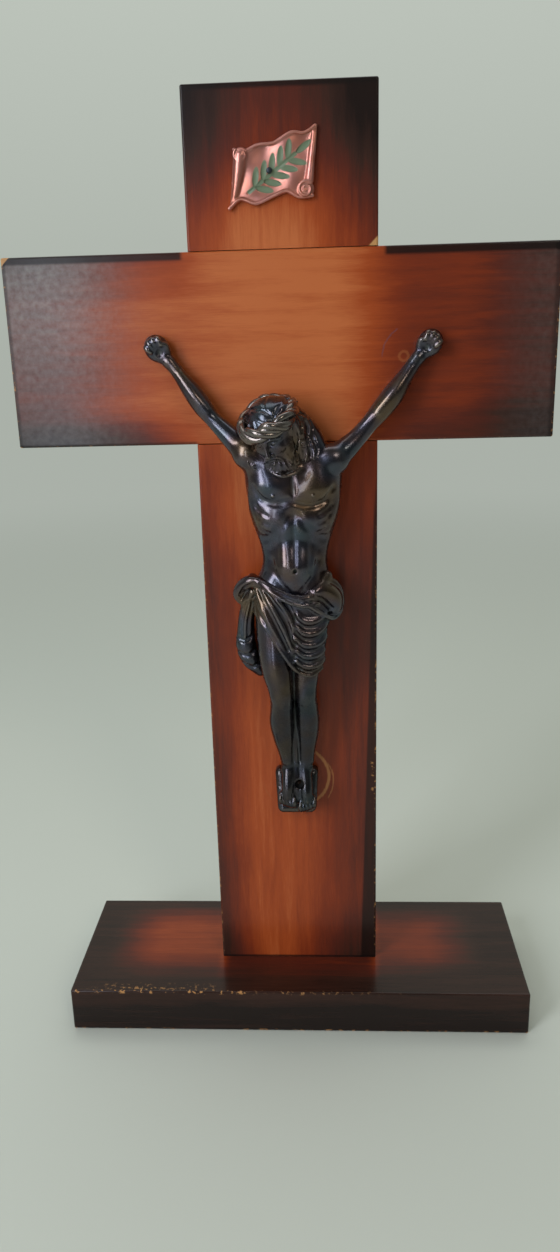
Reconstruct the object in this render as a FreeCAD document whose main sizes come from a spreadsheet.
"""Standing altar cross: three boards of one planed stock, a cast figure and a stamped scroll pinned to them.

Row frame, millimetres: origin at the centre of the base's underside, +Z up, the front faces -Y and +X is to
the right of someone looking at the front. The figure's right side is therefore at -X.
"""
import FreeCAD, Part
import math
import os

import Sketcher

V = FreeCAD.Vector
ORIGIN_POINT, X_AXIS, Y_AXIS = (-1, 1), -1, -2  # Sketcher's numbers for a sketch's own origin and axes

doc = FreeCAD.newDocument("altar_cross")

# ---------------------------------------------------------------- driving dimensions
SIZES = {
    # timber: nominal 3 x 1 inch softwood, planed to 70 x 20
    "stock_width": 70.0,
    "stock_thick": 20.0,
    "base_length": 200.0,
    "upright_length": 358.0,
    "crossbar_length": 207.0,
    "crossbar_off_centre": 1.8,  # how much further the arm board reaches to -X than to +X
    "crossbar_above_base": 233.0,  # from the base's top face to the crossbar's lower edge
    "lap_gap": 0.15,  # the fine open line above and below the crossbar
    "arris": 0.8,  # rounding of the sanded edges
    # countersunk slotted wood screws, up through the base into the upright's end grain
    "screw_radius": 2.25,
    "screw_core": 1.55,
    "screw_length": 45.0,
    "screw_head_radius": 4.4,
    "screw_head_height": 3.0,
    "screw_plain": 18.0,
    "screw_pitch": 1.8,
    "screw_tip": 5.0,
    "screw_sunk": 1.0,
    "screw_apart": 40.0,
    "slot_width": 1.1,
    "slot_depth": 1.3,
    # round-head pins that hold the casting
    "pin_radius": 0.9,
    "pin_head_radius": 1.6,
    "pin_head_height": 1.1,
    "pin_length": 16.0,
    "pin_tip": 2.5,
    # the scroll's pin, a size smaller
    "scroll_pin_radius": 0.6,
    "scroll_pin_head_radius": 1.1,
    "scroll_pin_head_height": 0.8,
    "scroll_pin_length": 10.0,
    "scroll_pin_tip": 1.8,
    # wire brads that lock the halved joint from behind
    "brad_radius": 0.8,
    "brad_head_radius": 1.3,
    "brad_head_height": 0.8,
    "brad_length": 15.0,
    "brad_tip": 2.2,
    "brad_apart": 36.0,
    # where the pins go in, on the front faces
    "right_hand_x": -47.0,
    "right_hand_z": 289.5,
    "left_hand_x": 53.5,
    "left_hand_z": 288.5,
    "foot_pin_x": 2.3,
    "foot_pin_z": 112.2,
    "scroll_pin_x": -4.0,
    "scroll_pin_z": 349.0,
    # metal under each pin's head, from the board's face
    "hand_seat": 4.6,
    "foot_seat": 9.0,
    "scroll_seat": 1.6,
}

sheet = doc.addObject("Spreadsheet::Sheet", "Sizes")
for row, (alias, value) in enumerate(SIZES.items(), start=1):
    sheet.set(f"A{row}", alias)
    sheet.set(f"B{row}", str(value))
    sheet.setAlias(f"B{row}", alias)
doc.recompute()


def size(alias):
    """One driving dimension, read back from the sheet."""
    return float(sheet.get(alias))


FRONT = -size("stock_thick") / 2  # the boards' front face
CROSSBAR_LOW = size("stock_thick") + size("crossbar_above_base")

DOME_STEPS = 5  # chords that draw a pin's rounded head

sub_parts = []


# ---------------------------------------------------------------- helpers
def new_body(name):
    """A PartDesign body whose label names its STEP file."""
    body = doc.addObject("PartDesign::Body", name)
    body.Label = name
    sub_parts.append(body)
    return body


def plane_sketch(body, name, role, offset=None):
    """A sketch on one of the body's own origin planes, moved along the plane's normal by an expression."""
    plane = next(f for f in body.Origin.OriginFeatures if f.Role == role)
    sketch = body.newObject("Sketcher::SketchObject", name)
    sketch.AttachmentSupport = (plane, [""])
    sketch.MapMode = "FlatFace"
    if offset is not None:
        sketch.setExpression("AttachmentOffset.Base.z", offset)
    doc.recompute()
    return sketch


def hold_point(sketch, geo, end, expressions):
    """Ties one vertex to the sheet: on an axis where the expression is worth nothing, else at its distance."""
    for kind, axis, expression in zip(("DistanceX", "DistanceY"), (Y_AXIS, X_AXIS), expressions):
        value = float(sketch.evalExpression(expression))
        if abs(value) < 1e-9:
            sketch.addConstraint(Sketcher.Constraint("PointOnObject", geo, end, axis))
            continue
        index = sketch.addConstraint(Sketcher.Constraint(kind, *ORIGIN_POINT, geo, end, value))
        sketch.setExpression(f"Constraints[{index}]", expression)


def closed_outline(sketch, corners):
    """Straight sides through corners given as pairs of expressions."""
    points = [V(*(float(sketch.evalExpression(e)) for e in corner), 0) for corner in corners]
    first = sketch.GeometryCount
    for here, there in zip(points, points[1:] + points[:1]):
        sketch.addGeometry(Part.LineSegment(here, there), False)
    count = len(points)
    for k in range(count):
        sketch.addConstraint(
            Sketcher.Constraint("Coincident", first + k, 2, first + (k + 1) % count, 1)
        )
    for k, corner in enumerate(corners):
        hold_point(sketch, first + k, 1, corner)


def rectangle(sketch, left, right, low, high):
    """A rectangle between four expressions."""
    closed_outline(sketch, [(left, low), (right, low), (right, high), (left, high)])


def circle(sketch, centre, radius):
    """A circle whose centre and radius are expressions."""
    at = V(*(float(sketch.evalExpression(e)) for e in centre), 0)
    geo = sketch.addGeometry(Part.Circle(at, V(0, 0, 1), float(sketch.evalExpression(radius))), False)
    index = sketch.addConstraint(
        Sketcher.Constraint("Radius", geo, float(sketch.evalExpression(radius)))
    )
    sketch.setExpression(f"Constraints[{index}]", radius)
    hold_point(sketch, geo, 3, centre)


def pad(body, name, sketch, length):
    """Extrudes a sketch along its normal."""
    feature = body.newObject("PartDesign::Pad", name)
    feature.Profile = sketch
    feature.setExpression("Length", length)
    doc.recompute()
    return feature


def pocket(body, name, sketch, depth, reverse=False):
    """Cuts a sketch into the body and stops the build if nothing went."""
    before = body.Shape.Volume
    feature = body.newObject("PartDesign::Pocket", name)
    feature.Profile = sketch
    feature.setExpression("Length", depth)
    feature.Reversed = reverse
    doc.recompute()
    if body.Shape.Volume > before - 1e-3:
        raise RuntimeError(f"{name} cut nothing")
    return feature


def revolve(body, name, sketch, kind="PartDesign::Revolution"):
    """Turns a half profile round the sketch's upright axis."""
    before = body.Shape.Volume if body.Shape and not body.Shape.isNull() else 0.0
    feature = body.newObject(kind, name)
    feature.Profile = sketch
    feature.ReferenceAxis = (sketch, ["V_Axis"])
    feature.Angle = 360.0
    doc.recompute()
    if kind == "PartDesign::Groove" and body.Shape.Volume > before - 1e-4:
        raise RuntimeError(f"{name} cut nothing")
    return feature


def soften(body, name, wanted, radius):
    """Rounds the edges of the body's tip that wanted() picks by their end points."""
    tip = body.Tip
    names = [
        f"Edge{i}"
        for i, edge in enumerate(tip.Shape.Edges, start=1)
        if len(edge.Vertexes) == 2 and wanted(edge.Vertexes[0].Point, edge.Vertexes[1].Point)
    ]
    fillet = body.newObject("PartDesign::Fillet", name)
    fillet.Base = (tip, names)
    fillet.setExpression("Radius", radius)
    doc.recompute()
    return fillet


def front_hole(body, name, place, radius, depth, front="Sizes.stock_thick / 2"):
    """A blind round hole into a board's front face. place is its (x, z) in the body's own frame."""
    sketch = plane_sketch(body, f"{name}_sketch", "XZ_Plane", front)
    circle(sketch, place, radius)
    return pocket(body, name, sketch, depth)


# ---------------------------------------------------------------- the boards
def make_base():
    """The foot: a length of the stock laid flat, countersunk underneath for two screws."""
    body = new_body("base_board")
    outline = plane_sketch(body, "base_outline", "XY_Plane")
    rectangle(
        outline,
        "-Sizes.base_length / 2",
        "Sizes.base_length / 2",
        "-Sizes.stock_width / 2",
        "Sizes.stock_width / 2",
    )
    pad(body, "base_pad", outline, "Sizes.stock_thick")
    soften(body, "base_arris", lambda a, b: True, "Sizes.arris")
    for side, sign in (("right", "-"), ("left", "")):
        sink = plane_sketch(body, f"countersink_{side}", "XZ_Plane")
        sink.setExpression("AttachmentOffset.Base.x", f"{sign}Sizes.screw_apart / 2")
        closed_outline(
            sink,
            [
                ("0", "0"),
                ("Sizes.screw_head_radius", "0"),
                ("Sizes.screw_head_radius", "Sizes.screw_sunk"),
                ("Sizes.screw_radius", "Sizes.screw_sunk + Sizes.screw_head_height"),
                ("Sizes.screw_radius", "Sizes.stock_thick"),
                ("0", "Sizes.stock_thick"),
            ],
        )
        revolve(body, f"countersunk_hole_{side}", sink, "PartDesign::Groove")
    return body


def make_upright():
    """The post: one length of the stock on end, its front half cut away where the crossbar passes."""
    body = new_body("upright")
    section = plane_sketch(body, "post_section", "XY_Plane")
    rectangle(
        section,
        "-Sizes.stock_width / 2",
        "Sizes.stock_width / 2",
        "-Sizes.stock_thick / 2",
        "Sizes.stock_thick / 2",
    )
    pad(body, "post_pad", section, "Sizes.upright_length")
    top = size("upright_length")

    def outer(a, b):
        """The post's long edges and the edges round its top."""
        along = abs(a.z - b.z) > 1
        return along or min(a.z, b.z) > top - 0.01

    soften(body, "post_arris", outer, "Sizes.arris")
    notch = plane_sketch(body, "lap_outline", "XZ_Plane", "Sizes.stock_thick / 2")
    rectangle(
        notch,
        "-Sizes.stock_width",
        "Sizes.stock_width",
        "Sizes.crossbar_above_base - Sizes.lap_gap",
        "Sizes.crossbar_above_base + Sizes.stock_width + Sizes.lap_gap",
    )
    pocket(body, "lap_notch", notch, "Sizes.stock_thick / 2")
    for side, sign in (("right", "-"), ("left", "")):
        pilot = plane_sketch(body, f"pilot_{side}", "XY_Plane")
        circle(pilot, (f"{sign}Sizes.screw_apart / 2", "0"), "Sizes.screw_radius")
        depth = "Sizes.screw_length - Sizes.stock_thick + Sizes.screw_sunk"
        pocket(body, f"pilot_hole_{side}", pilot, depth, reverse=True)
    front_hole(
        body,
        "foot_hole",
        ("Sizes.foot_pin_x", "Sizes.foot_pin_z - Sizes.stock_thick"),
        "Sizes.pin_radius",
        "Sizes.pin_length - Sizes.foot_seat + 1",
    )
    front_hole(
        body,
        "scroll_hole",
        ("Sizes.scroll_pin_x", "Sizes.scroll_pin_z - Sizes.stock_thick"),
        "Sizes.scroll_pin_radius",
        "Sizes.scroll_pin_length - Sizes.scroll_seat + 1",
    )
    brads = plane_sketch(body, "brad_holes_sketch", "XZ_Plane", "-Sizes.stock_thick / 2")
    heads = plane_sketch(body, "brad_heads_sketch", "XZ_Plane", "-Sizes.stock_thick / 2")
    for sign in ("-", "+"):
        at = (
            f"0 {sign} Sizes.brad_apart / 2",
            f"Sizes.crossbar_above_base + Sizes.stock_width / 2 {sign} Sizes.brad_apart / 2",
        )
        circle(brads, at, "Sizes.brad_radius")
        circle(heads, at, "Sizes.brad_head_radius")
    pocket(body, "brad_holes", brads, "Sizes.stock_thick / 2", reverse=True)
    pocket(body, "brad_heads", heads, "Sizes.brad_head_height", reverse=True)
    body.setExpression("Placement.Base.z", "Sizes.stock_thick")
    doc.recompute()

    return body


def make_crossbar():
    """The arm board: its back half is cut away over the post, so both faces finish flush."""
    body = new_body("crossbar")
    outline = plane_sketch(body, "arm_outline", "XZ_Plane", "-Sizes.stock_thick / 2")
    rectangle(
        outline,
        "-Sizes.crossbar_length / 2 - Sizes.crossbar_off_centre",
        "Sizes.crossbar_length / 2 - Sizes.crossbar_off_centre",
        "-Sizes.stock_width / 2",
        "Sizes.stock_width / 2",
    )
    pad(body, "arm_pad", outline, "Sizes.stock_thick")
    soften(body, "arm_arris", lambda a, b: True, "Sizes.arris")
    lap = plane_sketch(body, "lap_outline_arm", "XZ_Plane")
    half = "Sizes.stock_width / 2"
    rectangle(lap, f"-{half}", half, "-Sizes.stock_width", "Sizes.stock_width")
    pocket(body, "lap_notch_arm", lap, "Sizes.stock_thick")
    middle = "Sizes.stock_thick + Sizes.crossbar_above_base + Sizes.stock_width / 2"
    for name in ("right_hand", "left_hand"):
        front_hole(
            body,
            f"{name}_hole",
            (f"Sizes.{name}_x", f"Sizes.{name}_z - ({middle})"),
            "Sizes.pin_radius",
            "Sizes.pin_length - Sizes.hand_seat + 1",
        )
    brads = plane_sketch(body, "brad_points_sketch", "XZ_Plane")
    for sign in ("-", "+"):
        at = f"0 {sign} Sizes.brad_apart / 2"
        circle(brads, (at, at), "Sizes.brad_radius")
    depth = "Sizes.brad_length + Sizes.brad_head_height - Sizes.stock_thick / 2 + 0.5"
    pocket(body, "brad_points", brads, depth, reverse=True)
    body.setExpression("Placement.Base.z", middle)
    doc.recompute()
    return body


# ---------------------------------------------------------------- the fasteners
def make_screw(name, sign):
    """A slotted countersunk wood screw standing point up, its thread cut as close rings."""
    body = new_body(name)
    profile = plane_sketch(body, f"{name}_profile", "XZ_Plane")
    closed_outline(
        profile,
        [
            ("0", "0"),
            ("Sizes.screw_head_radius", "0"),
            ("Sizes.screw_radius", "Sizes.screw_head_height"),
            ("Sizes.screw_radius", "Sizes.screw_length - Sizes.screw_tip"),
            ("0", "Sizes.screw_length"),
        ],
    )
    revolve(body, f"{name}_turned", profile)
    slot = plane_sketch(body, f"{name}_slot_outline", "XY_Plane")
    rectangle(
        slot,
        "-Sizes.screw_head_radius",
        "Sizes.screw_head_radius",
        "-Sizes.slot_width / 2",
        "Sizes.slot_width / 2",
    )
    pocket(body, f"{name}_slot", slot, "Sizes.slot_depth", reverse=True)
    valley = plane_sketch(body, f"{name}_valley", "XZ_Plane")
    closed_outline(
        valley,
        [
            ("Sizes.screw_radius + 0.2", "Sizes.screw_plain"),
            ("Sizes.screw_core", "Sizes.screw_plain + Sizes.screw_pitch * 0.35"),
            ("Sizes.screw_core", "Sizes.screw_plain + Sizes.screw_pitch * 0.55"),
            ("Sizes.screw_radius + 0.2", "Sizes.screw_plain + Sizes.screw_pitch * 0.9"),
        ],
    )
    groove = revolve(body, f"{name}_groove", valley, "PartDesign::Groove")
    rings = int((size("screw_length") - size("screw_tip") - size("screw_plain")) / size("screw_pitch"))
    pattern = body.newObject("PartDesign::LinearPattern", f"{name}_thread")
    pattern.Originals = [groove]
    pattern.Direction = (valley, ["V_Axis"])
    pattern.Length = size("screw_pitch") * (rings - 1)
    pattern.Occurrences = rings
    body.Tip = pattern
    body.setExpression("Placement.Base.x", f"{sign}Sizes.screw_apart / 2")
    body.setExpression("Placement.Base.z", "Sizes.screw_sunk")
    doc.recompute()
    return body


def pin_profile(body, kind, dome_steps):
    """Half profile of a pin lying along +Y. A domed head is drawn with that many chords; none leaves it flat."""
    sketch = plane_sketch(body, f"{body.Label}_profile", "XY_Plane")
    head, high = f"Sizes.{kind}_head_radius", f"Sizes.{kind}_head_height"
    corners = [("0", f"-{high}")]
    for step in range(1, dome_steps):
        angle = 90.0 * step / dome_steps
        corners.append((f"{head} * sin({angle} deg)", f"-{high} * cos({angle} deg)"))
    if not dome_steps:
        corners.append((head, f"-{high}"))
    corners += [
        (head, "0"),
        (f"Sizes.{kind}_radius", "0"),
        (f"Sizes.{kind}_radius", f"Sizes.{kind}_length - Sizes.{kind}_tip"),
        ("0", f"Sizes.{kind}_length"),
    ]
    closed_outline(sketch, corners)
    return sketch


def make_pin(name, kind, x, seat, z):
    """A round-head pin driven straight back into a board, its head on the metal it holds."""
    body = new_body(name)
    revolve(body, f"{name}_turned", pin_profile(body, kind, DOME_STEPS))
    body.setExpression("Placement.Base.x", x)
    body.setExpression("Placement.Base.y", f"-Sizes.stock_thick / 2 - {seat}")
    body.setExpression("Placement.Base.z", z)
    doc.recompute()
    return body


def make_brad(name, sign):
    """A flat-head brad from behind, through the post's half of the joint and into the crossbar's."""
    body = new_body(name)
    revolve(body, f"{name}_turned", pin_profile(body, "brad", 0))
    body.Placement = FreeCAD.Placement(V(0, 0, 0), FreeCAD.Rotation(V(0, 0, 1), 180))
    middle = "Sizes.stock_thick + Sizes.crossbar_above_base + Sizes.stock_width / 2"
    body.setExpression("Placement.Base.x", f"0 {sign} Sizes.brad_apart / 2")
    body.setExpression("Placement.Base.y", "Sizes.stock_thick / 2 - Sizes.brad_head_height")
    body.setExpression("Placement.Base.z", f"{middle} {sign} Sizes.brad_apart / 2")
    doc.recompute()
    return body


# ---------------------------------------------------------------- the casting
# how far out and how wide, in radii, each ring of a rounded end is; the last closes with a small flat
TIP_RINGS = [(0.5, 0.866), (0.85, 0.527), (0.98, 0.199)]



def in_front(x, depth, z):
    """A point some way in front of the boards' face."""
    return V(x, FRONT - depth, z)


def limb(stations):
    """A smooth round limb lofted through (x, depth, z, radius) stations, drawn in at both ends."""
    centres = [in_front(x, depth, z) for x, depth, z, _ in stations]
    radii = [station[3] for station in stations]
    first = (centres[1] - centres[0]).normalize()
    last = (centres[-1] - centres[-2]).normalize()
    rings = [
        (centres[0] - first * radii[0] * out, first, radii[0] * wide) for out, wide in TIP_RINGS[::-1]
    ]
    for k, (centre, radius) in enumerate(zip(centres, radii)):
        before, after = centres[max(k - 1, 0)], centres[min(k + 1, len(centres) - 1)]
        rings.append((centre, after - before, radius))
    rings += [(centres[-1] + last * radii[-1] * out, last, radii[-1] * wide) for out, wide in TIP_RINGS]
    return Part.makeLoft([Part.Wire(Part.Circle(*ring).toShape()) for ring in rings], True, False)


def level_ellipse(centre, half_width, half_depth):
    """A level ellipse round a point."""
    along = V(1, 0, 0) if half_width >= half_depth else V(0, 1, 0)
    major, minor = max(half_width, half_depth), min(half_width, half_depth)
    across = V(0, 0, 1).cross(along)
    return Part.Wire(Part.Ellipse(centre + along * major, centre + across * minor, centre).toShape())


def ball(x, depth, z, wide, deep, tall, lean=0.0):
    """An egg-shaped swelling, leaning sideways by so many degrees."""
    outer = [(-out, width) for out, width in TIP_RINGS[::-1]] + [(0.0, 1.0)] + TIP_RINGS
    rings = [level_ellipse(V(0, 0, tall * up), wide * width, deep * width) for up, width in outer]
    shape = Part.makeLoft(rings, True, False)
    shape.rotate(V(0, 0, 0), V(0, 1, 0), lean)
    shape.translate(in_front(x, depth, z))
    return shape


def trunk(sections):
    """Smooth body through level ellipses given as (z, x, half width, depth, half depth)."""
    wires = [
        level_ellipse(in_front(x, depth, z), half_width, half_depth)
        for z, x, half_width, depth, half_depth in sections
    ]
    return Part.makeLoft(wires, True, False)


# The figure in groups. A list is a limb, (x, depth, z, radius) stations from its root outwards; a tuple is a
# swelling, (x, depth, z, half width, half depth, half height, sideways lean). Every piece meets one before it.
FIGURE = {
    "right_arm": [
        [
            (-9.5, 10.0, 246.5, 5.8),
            (-15.5, 9.4, 251.0, 5.2),
            (-21.5, 8.2, 257.0, 4.1),
            (-27.5, 7.0, 263.0, 3.3),
            (-32.6, 6.2, 269.6, 3.6),
            (-38.2, 5.2, 277.8, 2.6),
            (-42.6, 4.6, 283.2, 2.1),
            (-45.6, 4.2, 286.6, 2.6),
        ],
        (-47.6, 3.4, 288.6, 3.8, 3.0, 4.8, -36.0),
        (-51.2, 5.4, 290.0, 1.3, 2.6, 2.6, -20.0),
        (-49.6, 5.6, 293.0, 1.4, 2.6, 2.5, -30.0),
        (-46.9, 5.6, 293.2, 1.4, 2.6, 2.5, -10.0),
        (-44.6, 4.6, 290.6, 1.2, 2.2, 2.8, 8.0),
    ],
    "left_arm": [
        [
            (12.5, 10.0, 244.5, 5.8),
            (18.5, 9.4, 247.5, 5.2),
            (25.0, 8.2, 252.8, 4.2),
            (31.2, 7.0, 259.6, 3.5),
            (39.6, 6.2, 269.3, 4.0),
            (45.2, 5.2, 277.0, 2.9),
            (49.0, 4.6, 282.6, 2.2),
            (51.8, 4.2, 286.0, 2.6),
        ],
        (53.6, 3.4, 288.2, 4.0, 3.0, 5.0, 36.0),
        (57.4, 5.4, 289.2, 1.3, 2.6, 2.6, 20.0),
        (56.2, 5.6, 292.4, 1.4, 2.6, 2.5, 30.0),
        (53.6, 5.6, 293.0, 1.4, 2.6, 2.5, 10.0),
        (51.2, 4.6, 289.8, 1.2, 2.2, 2.8, -8.0),
    ],
    "head": [
        (-4.2, 14.5, 260.4, 8.6, 8.8, 10.0, -22.0),
        (-4.0, 18.4, 254.8, 6.0, 5.4, 8.6, -22.0),
        (-1.6, 18.8, 246.6, 4.4, 4.0, 5.2, -22.0),
        (-4.6, 22.8, 255.2, 1.2, 1.9, 2.8, -22.0),
        [(1.8, 10.5, 243.0, 6.4), (0.4, 12.0, 248.0, 5.6), (-1.2, 14.0, 253.0, 5.6)],
        [(-11.6, 12.5, 262.0, 4.4), (-13.2, 12.0, 255.0, 4.2), (-10.6, 12.0, 248.6, 2.4)],
        [(3.6, 11.5, 264.0, 4.8), (6.4, 10.5, 257.0, 5.0), (8.6, 11.5, 250.0, 4.0), (8.2, 14.0, 244.6, 2.2)],
    ],
    "legs": [
        [
            (-5.0, 10.5, 192.0, 7.4),
            (-5.8, 11.6, 178.0, 7.4),
            (-5.2, 13.4, 164.0, 6.4),
            (-4.2, 15.0, 153.0, 4.8),
            (-4.4, 11.4, 143.0, 5.3),
            (-3.4, 9.4, 131.0, 4.2),
            (-1.7, 8.8, 119.0, 3.0),
        ],
        [
            (7.0, 10.5, 192.0, 7.4),
            (6.6, 11.4, 178.0, 6.8),
            (5.9, 12.6, 164.0, 5.9),
            (5.8, 13.6, 153.0, 4.5),
            (6.2, 10.8, 143.0, 5.1),
            (5.8, 9.2, 131.0, 4.1),
            (4.7, 8.8, 119.0, 3.0),
        ],
    ],
    "feet": [
        (-2.3, 10.2, 111.0, 3.6, 3.8, 9.0, -3.0),
        (5.1, 10.0, 110.0, 3.5, 3.7, 9.0, 4.0),
    ],
    "cloth": [
        [
            (-14.0, 11.0, 200.4, 3.2),
            (-8.0, 16.2, 198.2, 2.5),
            (2.0, 18.4, 196.6, 2.3),
            (10.0, 15.6, 199.0, 2.5),
            (14.4, 10.4, 202.0, 2.6),
        ],
        [
            (-16.6, 8.4, 200.0, 4.0),
            (-18.4, 7.4, 192.0, 3.6),
            (-18.0, 6.8, 183.0, 3.3),
            (-18.2, 6.6, 174.0, 4.0),
            (-16.2, 6.4, 167.0, 3.6),
            (-13.0, 6.2, 161.6, 1.9),
        ],
        (-17.4, 9.6, 198.6, 4.4, 4.6, 5.4, 32.0),
        [(13.0, 9.0, 199.5, 3.6), (16.2, 9.2, 193.0, 4.3), (16.4, 9.2, 187.5, 3.4), (15.6, 9.2, 184.0, 1.8)],
        [(-12.4, 14.6, 193.0, 1.8), (-8.6, 17.6, 188.5, 2.0), (-4.4, 19.2, 182.0, 2.0), (-0.9, 19.6, 174.5, 1.6)],
        [(2.4, 19.4, 189.5, 1.5), (8.0, 18.8, 188.0, 1.9), (14.0, 14.0, 190.0, 1.7)],
        [(2.2, 19.6, 183.5, 1.5), (7.8, 18.8, 181.4, 1.9), (13.2, 13.4, 183.4, 1.6)],
        [(2.2, 19.4, 177.4, 1.4), (7.6, 18.6, 175.0, 1.8), (12.4, 13.2, 176.8, 1.5)],
        [(2.4, 18.8, 171.4, 1.3), (7.2, 18.2, 168.8, 1.7), (11.6, 13.2, 170.2, 1.4)],
    ],
    "breast": [
        (-5.2, 14.0, 237.5, 8.0, 5.2, 5.6, 8.0),
        (10.4, 14.0, 236.0, 7.8, 5.2, 5.6, -8.0),
        (2.4, 13.2, 208.0, 7.4, 5.6, 9.0, 0.0),
    ],
}
# level ellipses of the trunk and of the cloth round the hips as (z, x, half width, depth, half depth)
TRUNK = [
    (252.0, 1.2, 6.4, 11.4, 4.4),
    (248.0, 1.6, 12.2, 10.4, 6.0),
    (243.0, 2.0, 16.0, 10.4, 7.4),
    (236.0, 2.5, 16.8, 10.6, 8.4),
    (226.0, 2.3, 15.0, 10.6, 8.6),
    (214.0, 2.4, 11.2, 10.0, 7.2),
    (205.0, 1.3, 12.3, 10.0, 7.8),
    (196.0, 0.7, 13.4, 10.0, 8.4),
]
CLOTH = [
    (201.0, 0.7, 13.6, 10.0, 8.6),
    (190.0, 0.9, 15.2, 10.5, 9.6),
    (178.0, 1.6, 13.6, 11.0, 9.2),
    (168.0, 4.0, 10.4, 11.0, 8.0),
]
CROWN_CENTRE = (-4.4, 16.0, 262.6)  # x, depth, z
CROWN_RADIUS = 9.4
CROWN_BAND = 1.7
CROWN_NOD = 30.0  # bowed forward
CROWN_LEAN = -22.0  # towards the figure's right
FOOT_BLOCK_Z = (98.0, 116.8)
FOOT_BLOCK_X = (-7.0, 9.6)
FOOT_BLOCK_DEPTH = (10.8, 6.4)  # at the foot of the block and at its top
FOOT_BLOCK_CORNER = 2.0
NUDGES = [(0, 0, 0), (0.04, 0.03, 0.05), (-0.05, 0.06, -0.03), (0.09, -0.07, 0.11), (-0.13, -0.1, 0.16)]


def foot_block():
    """The sloping rest under the feet, cast in one with them, its lower corners rounded."""
    low, high = FOOT_BLOCK_Z
    left, right = FOOT_BLOCK_X
    deep, shallow = FOOT_BLOCK_DEPTH
    side = [
        in_front(left, 0, low),
        in_front(left, deep, low),
        in_front(left, shallow, high),
        in_front(left, 0, high),
    ]
    face = Part.Face(Part.makePolygon(side + side[:1]))
    block = face.extrude(V(right - left, 0, 0))
    corners = [
        edge
        for edge in block.Edges
        if all(abs(v.Point.z - low) < 1e-6 for v in edge.Vertexes)
        and abs(edge.Vertexes[0].Point.x - edge.Vertexes[1].Point.x) < 1e-6
    ]
    return block.makeFillet(FOOT_BLOCK_CORNER, corners)


def joined(whole, piece):
    """Fuses a piece onto the casting, nudging it by hundredths where two skins are too nearly tangent."""
    for nudge in NUDGES:
        moved = piece.copy()
        moved.translate(V(*nudge))
        result = whole.fuse(moved)
        sound = not result.isNull() and result.isValid() and len(result.Solids) == 1
        if sound and whole.Volume - 1e-3 < result.Volume < whole.Volume + moved.Volume:
            return result
    raise RuntimeError("a piece of the casting would not join")


def joined_all(pieces):
    """Fuses pieces one after another."""
    whole = pieces[0]
    for piece in pieces[1:]:
        whole = joined(whole, piece)
    return whole


def made(piece):
    """The solid of one entry of the figure."""
    return limb(piece) if isinstance(piece, list) else ball(*piece)


def crown():
    """The twisted crown as one plain ring round the brow."""
    shape = Part.makeTorus(CROWN_RADIUS, CROWN_BAND)
    shape.rotate(V(0, 0, 0), V(1, 0, 0), CROWN_NOD)
    shape.rotate(V(0, 0, 0), V(0, 1, 0), CROWN_LEAN)
    shape.translate(in_front(*CROWN_CENTRE))
    return shape


def drilled(shape, name, radius, seat, recess_radius, recess_lift=0.0):
    """Clears a pin's shank through the casting and sinks a recess for its head."""
    x, z = size(f"{name}_x"), size(f"{name}_z")
    reach = 30.0
    shank = Part.makeCylinder(radius, reach, in_front(x, reach, z), V(0, 1, 0))
    recess = Part.makeCylinder(
        recess_radius, reach - seat, in_front(x, reach, z + recess_lift), V(0, 1, 0)
    )
    return shape.cut([shank, recess])


def make_corpus():
    """The figure, one metal casting from hands to foot block, flat where it meets the boards."""
    groups = {name: [made(piece) for piece in pieces] for name, pieces in FIGURE.items()}
    groups["head"].insert(1, crown())
    groups["feet"].insert(0, foot_block())
    groups["cloth"].insert(0, trunk(CLOTH))
    groups["breast"].insert(0, trunk(TRUNK))
    whole = None
    for name in ("breast", "cloth", "legs", "feet", "right_arm", "left_arm", "head"):
        group = joined_all(groups[name])
        whole = joined(whole, group) if whole else group
    room = Part.makeBox(200, 40, 300, V(-100, FRONT - 40, 60))
    whole = whole.common(room)
    pin = size("pin_radius") + 0.05
    head = size("pin_head_radius") + 0.3
    whole = drilled(whole, "right_hand", pin, size("hand_seat"), head)
    whole = drilled(whole, "left_hand", pin, size("hand_seat"), head)
    whole = drilled(whole, "foot_pin", pin, size("foot_seat"), head, recess_lift=0.25)
    corpus = doc.addObject("Part::Feature", "corpus")
    corpus.Label = "corpus"
    corpus.Shape = whole
    sub_parts.append(corpus)
    return corpus


# ---------------------------------------------------------------- the scroll
SCROLL_THICK = 1.6
SCROLL_TOP = [(-17.0, 7.4), (-9.5, 8.2), (-4.5, 11.4), (1.5, 10.6), (7.0, 12.8), (16.6, 14.6)]
SCROLL_BOTTOM = [(14.4, -6.8), (8.6, -8.4), (2.4, -10.6), (-4.0, -11.0), (-14.2, -12.8)]
SCROLL_CURLS = [((-14.6, 5.2), 2.6), ((12.0, -4.4), 2.9)]
SCROLL_CURL_HEIGHT = 2.6


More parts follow.
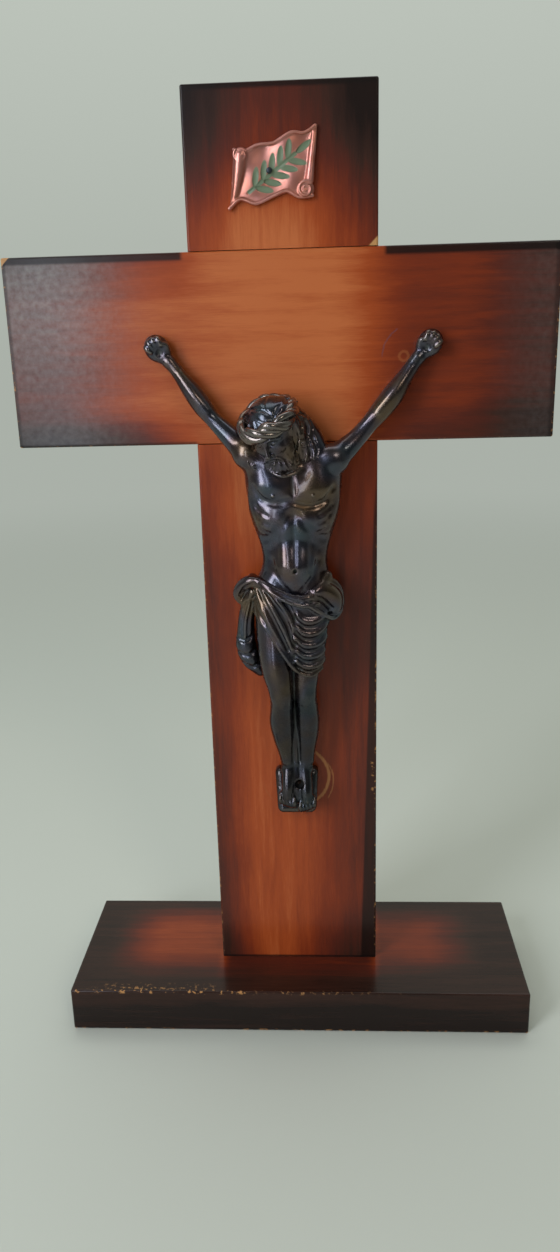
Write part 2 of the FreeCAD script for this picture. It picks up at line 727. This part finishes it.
def make_scroll():
    """The title scroll: a slanting stamped plate with a wavy head and foot and a curl at two corners."""
    middle_x, middle_z = size("scroll_pin_x"), size("scroll_pin_z")

    def at(point):
        """A point of the outline on the post's face."""
        return in_front(middle_x + point[0] + 1.8, 0, middle_z + point[1] - 0.4)

    def wave(points):
        """One smooth edge through its points."""
        curve = Part.BSplineCurve()
        curve.interpolate([at(p) for p in points])
        return curve.toShape()

    right = Part.LineSegment(at(SCROLL_TOP[-1]), at(SCROLL_BOTTOM[0])).toShape()
    left = Part.LineSegment(at(SCROLL_BOTTOM[-1]), at(SCROLL_TOP[0])).toShape()
    outline = Part.Wire([wave(SCROLL_TOP), right, wave(SCROLL_BOTTOM), left])
    plate = Part.Face(outline).extrude(V(0, -SCROLL_THICK, 0))
    curls = [
        Part.makeCylinder(radius, SCROLL_CURL_HEIGHT, at(centre), V(0, -1, 0))
        for centre, radius in SCROLL_CURLS
    ]
    whole = plate.multiFuse(curls)
    hole = Part.makeCylinder(
        size("scroll_pin_radius") + 0.05, 10, in_front(middle_x, 5, middle_z), V(0, 1, 0)
    )
    scroll = doc.addObject("Part::Feature", "title_scroll")
    scroll.Label = "title_scroll"
    scroll.Shape = whole.cut(hole)
    sub_parts.append(scroll)
    return scroll


# ---------------------------------------------------------------- build, check, write
make_base()
make_upright()
make_crossbar()
make_screw("base_screw_right", "-")
make_screw("base_screw_left", "")
make_brad("lap_brad_lower", "-")
make_brad("lap_brad_upper", "+")
make_pin("right_hand_pin", "pin", "Sizes.right_hand_x", "Sizes.hand_seat", "Sizes.right_hand_z")
make_pin("left_hand_pin", "pin", "Sizes.left_hand_x", "Sizes.hand_seat", "Sizes.left_hand_z")
make_pin("foot_pin", "pin", "Sizes.foot_pin_x", "Sizes.foot_seat", "Sizes.foot_pin_z")
make_pin("scroll_pin", "scroll_pin", "Sizes.scroll_pin_x", "Sizes.scroll_seat", "Sizes.scroll_pin_z")
make_corpus()
make_scroll()
doc.recompute()

for thing in doc.Objects:
    bad = [state for state in thing.State if state in ("Invalid", "Error")]
    if bad:
        raise RuntimeError(f"{thing.Name} is {bad}")

os.makedirs("parts", exist_ok=True)
for thing in sub_parts:
    shape = thing.Shape
    if shape.isNull() or not shape.isValid():
        raise RuntimeError(f"{thing.Label} has no valid shape")
    shape.exportStep(f"parts/{thing.Label}.step")
    box = shape.BoundBox
    print(
        f"{thing.Label:18s} solids {len(shape.Solids)} volume {shape.Volume:10.1f} "
        f"x {box.XMin:7.1f} {box.XMax:7.1f} y {box.YMin:6.1f} {box.YMax:6.1f} z {box.ZMin:6.1f} {box.ZMax:6.1f}"
    )
